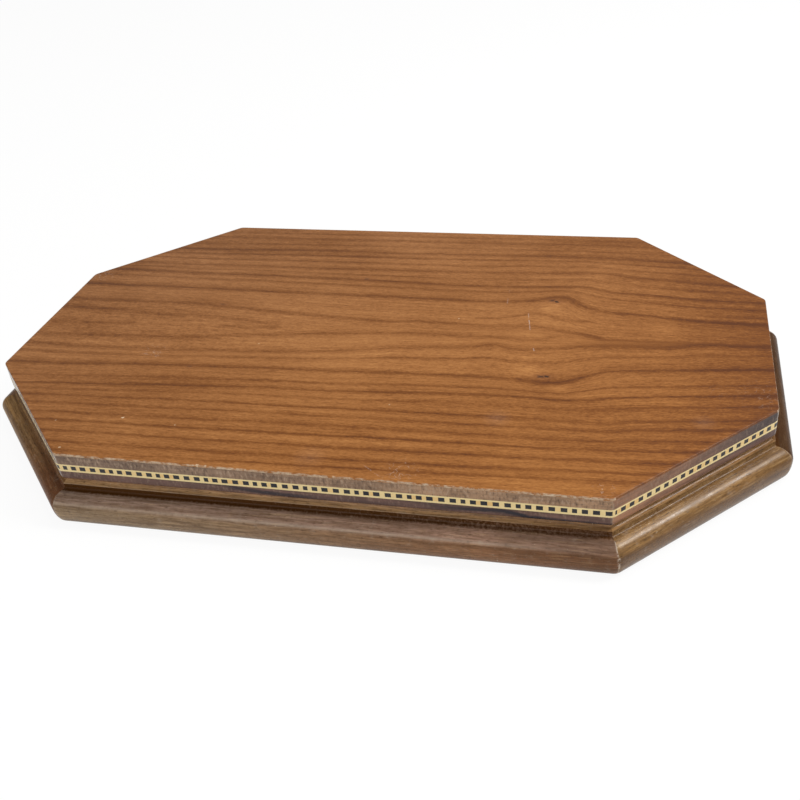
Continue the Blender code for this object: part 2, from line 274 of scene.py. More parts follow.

# Stains of the walnut; the shaded caramel one holds painted shade for the lower half of the front-right rim
GOLDEN = (0.300, 0.168, 0.062)
AMBER = (0.205, 0.108, 0.036)
SHADED_CARAMEL = (0.135, 0.064, 0.018)
HONEY = (0.270, 0.186, 0.108)
TAUPE = (0.225, 0.150, 0.112)
MAUVE = (0.300, 0.176, 0.122)
RUSSET = (0.225, 0.095, 0.040)
CHESTNUT = (0.190, 0.080, 0.026)
SEPIA = (0.140, 0.052, 0.021)
WALNUT = (0.200, 0.112, 0.056)
UMBER = (0.046, 0.020, 0.008)
MUSHROOM = (0.210, 0.139, 0.096)
TAN = (0.345, 0.210, 0.122)
BRICK = (0.320, 0.160, 0.088)
PLUM = (0.138, 0.077, 0.062)
SLATE = (0.062, 0.043, 0.040)

# Stains of each wall at its left and right ends, above the inlay and below it, how dark its figure is below,
# and how strongly it is hatched across the grain
WallLook = namedtuple("WallLook", "above_left above_right below_left below_right figure hatch")
WALL_LOOKS = {
    "front": WallLook(MUSHROOM, TAN, PLUM, PLUM, 0.3, 1.0),
    "front_right": WallLook(BRICK, SLATE, BRICK, PLUM, 0.3, 0.35),
}
WALL_ELSEWHERE = WallLook(MUSHROOM, MUSHROOM, PLUM, PLUM, 0.7, 0.6)

# How dark a wall's figure is above the inlay, and the share of its hatching that is left below
FIGURE_ABOVE = 0.1
HATCH_BELOW = 0.35

# How much the lacquer of the walls shines on the left sides and on the others
LEFT_SHINE = 0.9
WALL_SHINE = 0.12

# A rubbed strip down each end of a wall
END_WEAR = 0.6
END_WEAR_REACH = 0.9 * MM

# Dark heartwood that sweeps down the front wall below the inlay, as (along, drop, darkness), in mm
HEARTWOOD = (
    (-42, 0.6, 0.0), (-36, 1.1, 0.8), (-23, 2.3, 0.85), (-11, 2.8, 0.8), (2, 3.8, 0.4), (8, 4.0, 0.0),
    (38, 2.4, 0.0), (50, 2.1, 0.5), (62, 1.6, 0.9), (73, 0.9, 0.95), (79, 1.9, 1.0), (84, 3.3, 1.0),
    (96, 3.9, 0.8), (115, 3.9, 0.75))

# Lacquers of the rim boards: how much each shines, and how many pale flecks show in it
RIM_FINISHES = {
    "walnut_rim": (0.11, 1.0),
    "walnut_rim_polished": (0.22, 1.0),
    "walnut_rim_dull": (0.03, 0.3),
    "walnut_rim_mottled": (0.03, 1.0),
}

# Stains of each rim board at its left and right ends, above its shoulder and below it, its lacquer, how bare
# its cove is and how far painted light lightens it, how much painted shade darkens its quirk, how pale its
# arris is, rubbed and given a painted highlight, how strong the painted highlight along its shoulder is, how
# chipped its mitres are, and whether its right end has browned
RimLook = namedtuple(
    "RimLook",
    "upper_left upper_right lower_left lower_right "
    "finish cove quirk arris shoulder left_chips right_chips browned",
    defaults=("walnut_rim", 0.5, 0.0, 0.4, 0.0, 0.3, 0.3, 0.0))
RIM_LOOKS = {
    "front": RimLook(
        TAUPE, MAUVE, HONEY, RUSSET,
        cove=1.0, quirk=0.95, arris=0.5, shoulder=0.55, right_chips=1.0, browned=1.0),
    # The front-right board's lower stain is painted shade: its downward-facing lower half is darker in colour
    "front_right": RimLook(
        GOLDEN, AMBER, SHADED_CARAMEL, SHADED_CARAMEL, "walnut_rim_polished",
        quirk=0.35, arris=0.15, left_chips=1.0, right_chips=0.4),
    "right": RimLook(UMBER, UMBER, UMBER, UMBER, "walnut_rim_dull", cove=0.2, quirk=0.6, arris=0.3),
    "front_left": RimLook(GOLDEN, SEPIA, GOLDEN, SEPIA, "walnut_rim_mottled"),
    "left": RimLook(CHESTNUT, CHESTNUT, CHESTNUT, CHESTNUT),
}
RIM_ELSEWHERE = RimLook(WALNUT, WALNUT, RUSSET, RUSSET, quirk=0.7, shoulder=0.2)

# The shares of a board's length between which its right end browns, and how much darker it gets
BROWNED_FROM = 0.78
BROWNED_TO = 0.94
BROWNING = 0.35

# The heights between which the two stains of a rim board blend
BLEND_TOP = 12.4 * MM
BLEND_BOTTOM = 9.8 * MM

# A rubbed line along the arris, which also serves as its painted highlight, a painted highlight along the
# shoulder of the ovolo, and how bare the cove still is at its top
ARRIS_WEAR_AND_HIGHLIGHT_REACH = 0.4 * MM
SHOULDER_UP = 11.6 * MM
SHOULDER_HIGHLIGHT_REACH = 0.8 * MM
COVE_TOP_BARE = 0.3

# Painted shade in the quirk: where its middle is, out and up from the foot of the fillet, how far round that
# it is full and how far it reaches, and how much of it is gone at the right end
QUIRK_SHADE_OUT = 0.3 * MM
QUIRK_SHADE_UP = 0.5 * MM
QUIRK_SHADE_CORE = 1.5 * MM
QUIRK_SHADE_REACH = 2.9 * MM
QUIRK_SHADE_FADE = 0.4

# The share of the chips at a mitre that is left one step in from it
CHIPS_INSIDE = 0.6

# The camera: its place from the middle of the top in metres, its angles in degrees and its lens in mm
CAMERA_PLACE = (0.125761, -0.383627, 0.243273)
CAMERA_SWING = 14.677
CAMERA_TILT = 33.6245
CAMERA_ROLL = -5.0492
SENSOR_WIDTH = 36.0
FOCAL_LENGTH = 44.034
LENS_SHIFT = (-0.0480, -0.0383)
NEAREST_SEEN = 0.01

# The table: half its size, how far it lies below the rim, and how white it shows
TABLE_HALF_SIZE = 15.0
TABLE_DROP = 0.05 * MM
TABLE_WHITENESS = 0.92

# The studio: the strength of its even light, and its boxes as (direction, distance, size, power, colour)
WORLD_STRENGTH = 0.42
SOFTBOXES = {
    "overhead_box": ((0.25, 0.2, 0.95), 1.3, 0.8, 7.5, (1.0, 0.99, 0.97)),
    "right_box": ((0.64, 0.12, 0.75), 1.3, 0.28, 9.0, (1.0, 0.98, 0.95)),
    "front_box": ((-0.21, -0.92, 0.45), 1.6, 0.8, 6.0, (1.0, 1.0, 1.0)),
}


def list_sides():
    """The eight sides of the octagon, anticlockwise from the front."""
    sides = []
    for index, (name, (east, north)) in enumerate(SIDE_DIRECTIONS.items()):
        cut_share = CORNER_CUT / 2 if east and north else 0.0
        middle = Vector((east * (HALF_LENGTH - cut_share), north * (HALF_WIDTH - cut_share)))
        if east and north:
            half_length = CORNER_CUT / sqrt(2)
        elif north:
            half_length = HALF_LENGTH - CORNER_CUT
        else:
            half_length = HALF_WIDTH - CORNER_CUT
        sides.append(Side(name, index * CORNER_TURN, middle, half_length))
    return sides


SIDES = list_sides()


def outward(side):
    """The plan direction that a side looks in."""
    return Matrix.Rotation(side.turn, 2) @ Vector((0.0, -1.0))


def side_place(side):
    """The matrix that takes (along, depth behind the wall's face, up) on a side to the plate."""
    return Matrix.Translation((*side.middle, 0.0)) @ Matrix.Rotation(side.turn, 4, "Z")


def list_facets(radius):
    """The outline of the base as facets, with its corners rounded to a radius."""
    facets = []
    for side in SIDES:
        normal = outward(side)
        facets.append(Facet(normal, side.middle.dot(normal)))
        if radius:
            centre = (side_place(side) @ Vector((side.half_length - radius * tan(MITRE), radius, 0.0))).xy
            for step in range(1, CORNER_STEPS):
                turned = Matrix.Rotation(CORNER_TURN * step / CORNER_STEPS, 2) @ normal
                facets.append(Facet(turned, centre.dot(turned) + radius))
    return facets


class Paint:
    """A material under construction. Each call adds a node and returns the socket to read it from."""

    def __init__(self, name):
        self.material = bpy.data.materials.new(name)
        self.material.use_nodes = True
        self.tree = self.material.node_tree
        self.shader = self.tree.nodes["Principled BSDF"]

    def feed(self, socket, value):
        if isinstance(value, bpy.types.NodeSocket):
            self.tree.links.new(value, socket)
        else:
            socket.default_value = value

    def node(self, kind, inputs, **settings):
        node = self.tree.nodes.new("ShaderNode" + kind)
        for name, value in settings.items():
            setattr(node, name, value)
        for name, value in inputs.items():
            self.feed(node.inputs[name], value)
        return node

    def place(self):
        """The place on the object, in mm."""
        return self.stretch(self.node("TexCoord", {}).outputs["Object"], (1 / MM, 1 / MM, 1 / MM))

    def attribute(self, name, output="Fac"):
        return self.node("Attribute", {}, attribute_name=name).outputs[output]

    def vector(self, operation, first, second, output="Vector"):
        return self.node("VectorMath", {0: first, 1: second}, operation=operation).outputs[output]

    def stretch(self, vector, factors):
        return self.vector("MULTIPLY", vector, factors)

    def distance(self, vector, point):
        return self.vector("DISTANCE", vector, point, "Value")

    def dot(self, vector, direction):
        return self.vector("DOT_PRODUCT", vector, direction, "Value")

    def parts(self, vector):
        return self.node("SeparateXYZ", {0: vector}).outputs

    def join(self, x, y, z):
        return self.node("CombineXYZ", {0: x, 1: y, 2: z}).outputs[0]

    def math(self, operation, *values):
        return self.node("Math", dict(enumerate(values)), operation=operation).outputs[0]

    def add(self, first, second):
        return self.math("ADD", first, second)

    def less(self, first, second):
        return self.math("SUBTRACT", first, second)

    def times(self, first, second):
        return self.math("MULTIPLY", first, second)

    def noise(self, vector, factors, detail=3.0, roughness=0.55):
        """Noise that turns so many times in a mm along each axis of a vector."""
        stretched = self.stretch(vector, factors)
        inputs = {"Vector": stretched, "Scale": 1.0, "Detail": detail, "Roughness": roughness}
        return self.node("TexNoise", inputs).outputs["Fac"]

    def remap(self, value, low, high, new_low=0.0, new_high=1.0):
        inputs = {0: value, 1: low, 2: high, 3: new_low, 4: new_high}
        return self.node("MapRange", inputs).outputs[0]

    def ramp(self, value, stops):
        node = self.node("ValToRGB", {"Fac": value})
        elements = node.color_ramp.elements
        while len(elements) < len(stops):
            elements.new(1.0)
        for element, (position, colour) in zip(elements, stops):
            element.position = position
            element.color = (*colour, 1.0) if isinstance(colour, tuple) else (colour,) * 3 + (1.0,)
        return node.outputs["Color"]

    def mix(self, factor, first, second):
        node = self.node("Mix", {0: factor}, data_type="RGBA")
        for socket, value in ((node.inputs[6], first), (node.inputs[7], second)):
            self.feed(socket, (*value, 1.0) if isinstance(value, tuple) else value)
        return node.outputs[2]

    def layers(self, wood, *rows):
        """Colours over the wood: each row is a value, its range, the opacity at its ends and a colour."""
        for value, low, high, at_low, at_high, colour in rows:
            wood = self.mix(self.remap(value, low, high, at_low, at_high), wood, colour)
        return wood

    def shade(self, colour, factor):
        return self.node("VectorMath", {0: colour, "Scale": factor}, operation="SCALE").outputs[0]

    def spot(self, flat, mark, core=0.0, ragged=None):
        """A round mark (x, y, radius, amount), full as far as a share of its radius and gone at its edge."""
        x, y, radius, amount = mark
        spread = self.distance(flat, (x, y, 0.0))
        if ragged is not None:
            spread = self.add(spread, ragged)
        return self.remap(spread, core * radius, radius, amount, 0.0)

    def bump(self, height, strength, distance):
        inputs = {"Height": height, "Strength": strength, "Distance": distance}
        return self.node("Bump", inputs).outputs[0]

    def finish(self, colour, roughness, normal=None, **constants):
        self.feed(self.shader.inputs["Base Color"], colour)
        self.feed(self.shader.inputs["Roughness"], roughness)
        if normal is not None:
            self.feed(self.shader.inputs["Normal"], normal)
        for name, value in constants.items():
            self.shader.inputs[name.replace("_", " ")].default_value = value
        return self.material


def veneer_material():
    """Plain-sawn cherry veneer under satin lacquer, with its growth lines, knots, marks, worn edge and a line
    of painted shade along part of the edge.
    """
    paint = Paint("cherry_veneer")
    place = paint.place()
    flat = paint.stretch(place, (1.0, 1.0, 0.0))
    along, across, height = paint.parts(place)
    flow = paint.join(along, paint.attribute("flow"), height)
    cloud = paint.noise(place, (0.016, 0.03, 0.02), 3.0, 0.5)
    streak = paint.noise(flow, (0.006, 0.17, 0.17), 4.0, 0.6)
    hair = paint.noise(flow, (0.015, 0.6, 0.6), 5.0, 0.75)
    fibre = paint.noise(flow, (0.05, 0.9, 0.9), 5.0, 0.7)
    fleck = paint.noise(flow, (0.22, 1.3, 1.3), 3.0, 0.6)
    speck = paint.noise(flow, (0.7, 1.9, 1.9), 3.0, 0.6)
    rub = paint.noise(place, (0.3, 0.6, 0.6), 6.0, 0.75)

    line = growth_line_mask(paint, place, cloud)
    grains = ((streak, 0.08), (hair, 0.11), (fibre, 0.13), (fleck, 0.15), (speck, 0.17), (cloud, 0.09))
    light = veneer_light(paint, flat, along, across, grains)
    wood = paint.ramp(paint.less(light, paint.times(line, LINE_DARKENING)), CHERRY)
    ruddy = paint.stretch(wood, (1.02, 0.92, 0.62))
    toward_right_front = paint.less(paint.times(along, 0.6), across)
    wood = paint.layers(
        wood,
        (toward_right_front, -160.0, 160.0, 0.0, 1.0, ruddy),
        (fleck, 0.62, 0.76, 0.0, 0.35, (0.13, 0.042, 0.012)),
        (speck, 0.66, 0.78, 0.0, 0.5, (0.11, 0.036, 0.011)))
    wood = veneer_knots(paint, flat, wood)
    wood = veneer_marks(paint, place, flat, wood)
    # The stored edge value pales the worn edge, and below zero darkens it with painted shade
    wear = paint.times(paint.attribute("wear"), paint.remap(rub, 0.42, 0.62, 0.1, 1.4))
    wood = paint.layers(
        wood,
        (wear, 0.1, 1.0, 0.0, 0.85, (0.53, 0.43, 0.31)),
        (wear, -0.6, 0.0, 0.7, 0.0, (0.10, 0.040, 0.018)))

    gloss = paint.remap(cloud, 0.3, 0.7, 0.36, 0.46)
    gloss = paint.add(gloss, paint.remap(wear, 0.0, 1.0, 0.0, 0.2))
    relief = paint.less(paint.add(fibre, speck), paint.times(line, 0.6))
    return paint.finish(wood, gloss, paint.bump(relief, 0.12, 0.08 * MM), Specular_IOR_Level=0.22)


def growth_line_mask(paint, place, cloud):
    """How strongly the growth lines darken a place, from 0 to about 1."""
    waver = paint.noise(place, (0.09, 0.6, 0.6), 4.0, 0.65)
    distance = paint.add(paint.attribute("ring_distance"), paint.remap(waver, 0.3, 0.7, -0.3, 0.3))
    line = paint.ramp(paint.remap(distance, 0.0, LINE_REACH), LINE_FALLOFF)
    line = paint.times(line, paint.attribute("ring_strength"))
    return paint.times(line, paint.remap(cloud, 0.3, 0.7, 0.8, 1.15))


def veneer_light(paint, flat, along, across, grains):
    """How light the wood is between the growth lines, with noises and how far each changes the light."""
    lengthwise = paint.ramp(paint.remap(along, -HALF_LENGTH / MM, HALF_LENGTH / MM), LENGTHWISE_LIGHT)
    crosswise = paint.ramp(paint.remap(across, -HALF_WIDTH / MM, HALF_WIDTH / MM), CROSSWISE_LIGHT)
    light = paint.less(paint.add(lengthwise, crosswise), 0.5)
    for grain, reach in grains:
        light = paint.add(light, paint.remap(grain, 0.2, 0.8, reach, -reach))
    for mark in BRIGHT_WOOD:
        light = paint.add(light, paint.spot(flat, mark))
    return light


def veneer_knots(paint, flat, wood):
    """Put the dark spots of the pin knots into the wood."""
    ragged = paint.remap(paint.noise(flat, (0.7, 1.1, 1.0), 3.0, 0.6), 0.3, 0.7, -0.6, 0.6)
    narrow = paint.stretch(flat, (KNOT_NARROWING, 1.0, 1.0))
    for x, y, radius, darkness in PIN_KNOTS:
        spread = paint.add(paint.distance(narrow, (KNOT_NARROWING * x, y, 0.0)), ragged)
        wood = paint.layers(
            wood,
            (spread, radius, 4 * radius, 0.4, 0.0, (0.20, 0.070, 0.019)),
            (spread, 0.5 * radius, 1.3 * radius, darkness, 0.0, (0.022, 0.010, 0.006)))
    return wood


def veneer_marks(paint, place, flat, wood):
    """Put bare specks, scuffs, smudges and scratches over the wood."""
    scuff = paint.noise(place, (0.9, 0.9, 0.9), 5.0, 0.65)
    curl = paint.noise(place, (0.22, 0.22, 0.22), 2.0, 0.6)
    ragged = paint.remap(scuff, 0.3, 0.7, -0.5, 0.5)
    for mark in BARE_SPOTS:
        wood = paint.mix(paint.spot(flat, mark, 0.5, ragged), wood, (0.72, 0.58, 0.40))
    off_curl = paint.math("ABSOLUTE", paint.less(curl, 0.5))
    curling = paint.times(paint.remap(off_curl, 0.004, 0.022, 1.0, 0.0), paint.remap(scuff, 0.42, 0.56))
    for mark in SCUFFS:
        wood = paint.mix(paint.times(paint.spot(flat, mark, 0.3), curling), wood, (0.56, 0.46, 0.38))
    haze = paint.remap(scuff, 0.35, 0.65, 0.5, 1.0)
    for mark in SMUDGES:
        wood = paint.mix(paint.times(paint.spot(flat, mark), haze), wood, (0.52, 0.42, 0.36))
    for start, end, opacity in SCRATCHES:
        mask = scratch_mask(paint, flat, scuff, start, end)
        wood = paint.mix(paint.times(mask, opacity), wood, (0.58, 0.52, 0.50))
    return wood


def scratch_mask(paint, flat, scuff, start, end):
    """Where a thin broken scratch shows, between two points of the top in mm."""
    run = Vector(end) - Vector(start)
    along = run.normalized()
    from_start = paint.vector("SUBTRACT", flat, (*start, 0.0))
    ahead = paint.dot(from_start, (*along, 0.0))
    aside = paint.math("ABSOLUTE", paint.dot(from_start, (-along.y, along.x, 0.0)))
    thin = paint.remap(aside, 0.10, 0.30, 1.0, 0.0)
    begun = paint.remap(ahead, 0.0, SCRATCH_TAPER)
    open_end = paint.remap(ahead, run.length - SCRATCH_TAPER, run.length, 1.0, 0.0)
    broken = paint.remap(scuff, 0.49, 0.56)
    return paint.times(paint.times(thin, broken), paint.times(begun, open_end))


def wall_material(name, specular):
    """Lacquered walnut of the wall: hatched and rubbed in places, with long dark figure in others."""
    paint = Paint(name)
    grain = paint.attribute("grain", "Vector")
    along, around, board = paint.parts(grain)
    slanted = paint.join(along, paint.add(around, paint.times(along, -0.035)), board)
    streak = paint.noise(grain, (0.03, 0.6, 0.6), 4.0, 0.6)
    mottle = paint.noise(grain, (0.30, 0.5, 0.5), 5.0, 0.7)
    hatch = paint.noise(grain, (0.8, 0.3, 0.3), 3.0, 0.65)
    drift = paint.noise(grain, (0.05, 0.12, 0.12), 3.0, 0.5)
    figure = paint.noise(slanted, (0.009, 0.42, 0.42), 3.0, 0.55)

    wood = paint.shade(paint.attribute("stain", "Vector"), paint.remap(drift, 0.25, 0.75, 0.72, 1.28))
    wood = paint.layers(
        wood,
        (streak, 0.45, 0.7, 0.0, 0.5, (0.062, 0.038, 0.032)),
        (mottle, 0.5, 0.72, 0.0, 0.6, (0.080, 0.050, 0.036)))
    off_heart = paint.add(paint.attribute("off_heartwood"), paint.remap(mottle, 0.3, 0.7, -0.4, 0.4))
    heart = paint.remap(paint.math("ABSOLUTE", off_heart), 0.5, 1.4, 1.0, 0.0)
    for amount, mask, colour in (
            ("hatch", paint.remap(hatch, 0.52, 0.68, 0.0, 0.7), (0.36, 0.26, 0.18)),
            ("hatch", paint.remap(hatch, 0.33, 0.47, 0.7, 0.0), (0.075, 0.050, 0.038)),
            ("figure", paint.remap(figure, 0.50, 0.60), (0.034, 0.026, 0.030)),
            ("heartwood", heart, (0.028, 0.023, 0.028)),
            ("wear", paint.remap(mottle, 0.4, 0.6), (0.38, 0.30, 0.22))):
        wood = paint.mix(paint.times(paint.attribute(amount), mask), wood, colour)
    gloss = paint.remap(mottle, 0.3, 0.7, 0.18, 0.32)
    normal = paint.bump(paint.add(streak, mottle), 0.15, 0.08 * MM)
    return paint.finish(wood, gloss, normal, Specular_IOR_Level=specular)


def rim_material(name, specular, flecks):
    """Lacquered walnut of the moulded rim, streaked along its length, with more or fewer pale flecks, painted
    light in the cove, painted shade in the quirk and painted highlights along the arris and the shoulder.
    """
    paint = Paint(name)
    grain = paint.attribute("grain", "Vector")
    streak = paint.noise(grain, (0.02, 0.5, 0.5), 4.0, 0.6)
    fibre = paint.noise(grain, (0.10, 1.4, 1.4), 4.0, 0.65)
    drift = paint.noise(grain, (0.035, 0.08, 0.08), 3.0, 0.5)
    pore = paint.noise(grain, (0.4, 2.4, 2.4), 2.0, 0.5)
    smudge = paint.noise(grain, (0.25, 0.3, 0.3), 5.0, 0.7)
    chatter = paint.noise(grain, (0.9, 0.7, 0.7), 4.0, 0.65)
    nick = paint.noise(grain, (0.7, 0.9, 0.9), 2.0, 0.5)

    # The cove is bare golden wood; on the front board its bottom, near the arris, is lightened further with
    # painted light, where the groove lies in shade
    cove = paint.attribute("cove")
    bare_and_lit_cove = paint.ramp(
        cove, ((0.0, (0.330, 0.165, 0.056)), (0.55, (0.330, 0.165, 0.056)), (1.0, (0.62, 0.36, 0.15))))
    covered = paint.remap(cove, 0.0, 0.3, 0.0, 0.75)
    wood = paint.mix(covered, paint.attribute("stain", "Vector"), bare_and_lit_cove)
    wood = paint.shade(wood, paint.remap(drift, 0.25, 0.75, 0.78, 1.22))
    # Painted shade in the quirk, with a ragged edge
    hollow = paint.attribute("hollow")
    ragged = paint.add(hollow, paint.remap(chatter, 0.3, 0.7, 0.28, -0.28))
    quirk_shade = paint.times(paint.remap(hollow, 0.0, 0.3), paint.remap(ragged, 0.15, 0.7))
    # A pale rubbed line along the arris, which also serves as its painted highlight, and a painted highlight
    # along the shoulder
    rubbed_and_highlit = paint.times(paint.attribute("wear"), paint.remap(smudge, 0.3, 0.65, 0.45, 1.0))
    chipped = paint.times(paint.attribute("joint"), paint.remap(smudge, 0.44, 0.56))
    wood = paint.layers(
        wood,
        (streak, 0.45, 0.7, 0.0, 0.65, (0.085, 0.044, 0.020)),
        (streak, 0.27, 0.44, 0.35 * flecks, 0.0, (0.36, 0.24, 0.12)),
        (fibre, 0.45, 0.66, 0.0, 0.6, (0.08, 0.038, 0.015)),
        (fibre, 0.30, 0.44, 0.4 * flecks, 0.0, (0.38, 0.25, 0.12)),
        (pore, 0.58, 0.70, 0.0, 0.65, (0.040, 0.020, 0.010)),
        (smudge, 0.56, 0.74, 0.0, 0.4 * flecks, (0.33, 0.26, 0.20)),
        (smudge, 0.28, 0.42, 0.45, 0.0, (0.085, 0.042, 0.018)))
    # The quirk darkened with painted shade
    wood = paint.mix(quirk_shade, wood, (0.058, 0.020, 0.003))
    wood = paint.layers(wood, (nick, 0.745, 0.775, 0.0, 0.7, (0.55, 0.46, 0.36)))
    wood = paint.mix(rubbed_and_highlit, wood, (0.42, 0.33, 0.25))
    wood = paint.mix(chipped, wood, (0.46, 0.37, 0.29))
    gloss = paint.remap(smudge, 0.3, 0.7, 0.20, 0.40)
    normal = paint.bump(paint.add(fibre, smudge), 0.15, 0.08 * MM)
    return paint.finish(wood, gloss, normal, Specular_IOR_Level=specular)


def inlay_material(name, light, dark, rough):
    """Close-grained inlay wood that differs a little from block to block."""
    paint = Paint(name)
    fibre = paint.noise(paint.attribute("grain", "Vector"), (0.9, 1.8, 1.8), 4.0, 0.6)
    wood = paint.mix(paint.attribute("block"), light, dark)
    wood = paint.layers(wood, (fibre, 0.45, 0.8, 0.0, 0.45, dark))
    gloss = paint.remap(fibre, 0.3, 0.7, rough - 0.06, rough + 0.06)
    return paint.finish(wood, gloss, paint.bump(fibre, 0.1, 0.05 * MM), Specular_IOR_Level=0.3)


def felt_material():
    """Wine-red wool felt, matted and a little faded in places."""
    paint = Paint("wine_felt")
    place = paint.place()
    hair = paint.noise(place, (1.6, 1.6, 1.6), 6.0, 0.75)
    mat = paint.noise(place, (0.25, 0.25, 0.25), 4.0, 0.6)
    faded = paint.noise(place, (0.02, 0.03, 0.02), 2.0, 0.5)
    wool = paint.layers(
        (0.20, 0.014, 0.024),
        (faded, 0.35, 0.65, 0.0, 1.0, (0.26, 0.028, 0.034)),
        (mat, 0.4, 0.7, 0.0, 0.5, (0.13, 0.008, 0.015)),
        (hair, 0.55, 0.75, 0.0, 0.5, (0.36, 0.06, 0.065)))
    rough = paint.remap(hair, 0.3, 0.7, 0.88, 0.98)
    normal = paint.bump(paint.add(hair, mat), 0.5, 0.25 * MM)
    return paint.finish(wool, rough, normal, Sheen_Weight=0.35, Sheen_Roughness=0.5)


def plain_wood_material(name, light, dark):
    """Bare wood of a hidden part, with its fibres along X."""
    paint = Paint(name)
    fibre = paint.noise(paint.place(), (0.04, 0.9, 0.9), 4.0, 0.6)
    wood = paint.mix(paint.remap(fibre, 0.3, 0.7), light, dark)
    return paint.finish(wood, paint.remap(fibre, 0.3, 0.7, 0.55, 0.7), paint.bump(fibre, 0.2, 0.1 * MM))


def add_object(name, data):
    """Put an object with some data into the scene."""
    thing = bpy.data.objects.new(name, data)
    bpy.context.scene.collection.objects.link(thing)
    return thing


def add_piece(name, mesh, material, slot, *nodes):
    """Put a finished mesh into the scene as a piece on the plate, in place of the nodes it stands for."""
    mesh.materials.append(material)
    piece = add_object(name, mesh)
    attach(piece, "root")
    if nodes:
        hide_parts(*nodes)
    return piece


def smooth(mesh):
    """Shade a mesh smooth, but for the edges where its faces turn sharply."""
    mesh.shade_smooth()
    mesh.set_sharp_from_angle(angle=SHARP_ANGLE)


def store(mesh, **layers):
    """Store a number or a vector for each vertex under each name."""
    for name, values in layers.items():
        values = np.asarray(values, dtype=np.float32)
        kind, field = ("FLOAT", "value") if values.ndim == 1 else ("FLOAT_VECTOR", "vector")
        mesh.attributes.new(name, kind, "POINT").data.foreach_set(field, values.ravel())


def to_mesh(name, bm):
    """Turn a bmesh into a mesh whose faces point out."""
    bmesh.ops.recalc_face_normals(bm, faces=bm.faces[:])
    mesh = bpy.data.meshes.new(name)
    bm.to_mesh(mesh)
    bm.free()
    return mesh


def solid_mesh(name, points, faces):
    """A closed mesh from points and faces."""
    rough = bpy.data.meshes.new(name + "_rough")
    rough.from_pydata(points, [], faces)
    bm = bmesh.new()
    bm.from_mesh(rough)
    bpy.data.meshes.remove(rough)
    return to_mesh(name, bm)


def prism_faces(stations, size, first=0):
    """Faces of a closed prism of rings of points, each ring `size` long, from a first index on."""
    faces = []
    for row in range(stations - 1):
        for column in range(size):
            beside = (column + 1) % size
            ring = first + row * size
            faces.append((ring + column, ring + beside, ring + size + beside, ring + size + column))
    faces.append(tuple(range(first, first + size)))
    faces.append(tuple(range(first + (stations - 1) * size, first + stations * size)))
    return faces


def arc(centre_out, centre_up, radius_out, radius_up, first, last, steps):
    """Points (out, up) along an arc of an ellipse, with its angles in degrees from the out axis."""
    points = []
    for step in range(steps + 1):
        angle = radians(first + (last - first) * step / steps)
        points.append((centre_out + radius_out * cos(angle), centre_up + radius_up * sin(angle)))
    return points


def fade(values, none, full):
    """0 to 1 as values go from one measure to another, and level beyond the two."""
    return np.clip((values - none) / (full - none), 0, 1)


def smooth_path(points):
    """A curve through given points in mm, sampled at about every mm."""
    knots = [Vector(point) for point in points]
    knots = [2 * knots[0] - knots[1], *knots, 2 * knots[-1] - knots[-2]]
    path = []
    for before, start, end, after in zip(knots, knots[1:], knots[2:], knots[3:]):
        length = (end - start).length
        steps = max(2, int(length))
        slope_in = (end - before) * length / (end - before).length
        slope_out = (after - start) * length / (after - start).length
        for step in range(steps):
            t = step / steps
            path.append(
                start * (2 * t ** 3 - 3 * t ** 2 + 1) + slope_in * (t ** 3 - 2 * t ** 2 + t)
                + end * (3 * t ** 2 - 2 * t ** 3) + slope_out * (t ** 3 - t ** 2))
    path.append(knots[-2])
    return path


def line_heights(name, run):
    """How far across the top a growth line is at each place of a run along it, in mm."""
    _, _, points = GROWTH_LINES[name]
    path = np.array([tuple(point) for point in smooth_path(points)])
    return np.interp(run, path[:, 0], path[:, 1])


def growth_line_points():
    """Every growth line as (point in mm, darkness, width), darker and wider beside the knots."""
    spots = []
    for darkness, width, points in GROWTH_LINES.values():
        if darkness:
            spots += [(point, darkness, width) for point in smooth_path(points)]
    run = np.arange(-LINE_END, LINE_END + 1.0)
    for first, second, share, darkness in LINES_BETWEEN:
        between = line_heights(first, run) * (1 - share) + line_heights(second, run) * share
        spots += [(Vector((x, y)), darkness, WIDTH_BETWEEN) for x, y in zip(run, between)]
    near_knots = []
    for point, darkness, width in spots:
        nearest = min((point - Vector(knot)).length for knot in BENDING_KNOTS)
        bent = 1 + KNOT_DARKENING * max(0.0, 1 - nearest / KNOT_REACH)
        near_knots.append((point, darkness * bent, width * bent))
    return near_knots


def flow_across(points):
    """For each point in mm, a place across the grain that is the same all along a growth line."""
    run = np.arange(-HALF_LENGTH / MM, HALF_LENGTH / MM + 1.0)
    rows = np.array([line_heights(name, run) for name in FLOW_LINES])
    levels = rows.mean(axis=1)
    columns = np.clip(np.rint(points[:, 0] - run[0]).astype(int), 0, len(run) - 1)
    return [np.interp(y, rows[:, column], levels) for y, column in zip(points[:, 1], columns)]


def sway(x, y):
    """How far a growth line wanders across the grain at a place, all in mm."""
    slow = noise.noise((0.03 * x, 0.05 * y, 0.0))
    quick = noise.noise((0.11 * x, 0.25 * y, 5.0))
    return 0.5 * slow + 0.3 * quick


def point_finder(points):
    """A tree that finds the nearest of some points."""
    finder = kdtree.KDTree(len(points))
    for index, point in enumerate(points):
        finder.insert(point, index)
    finder.balance()
    return finder


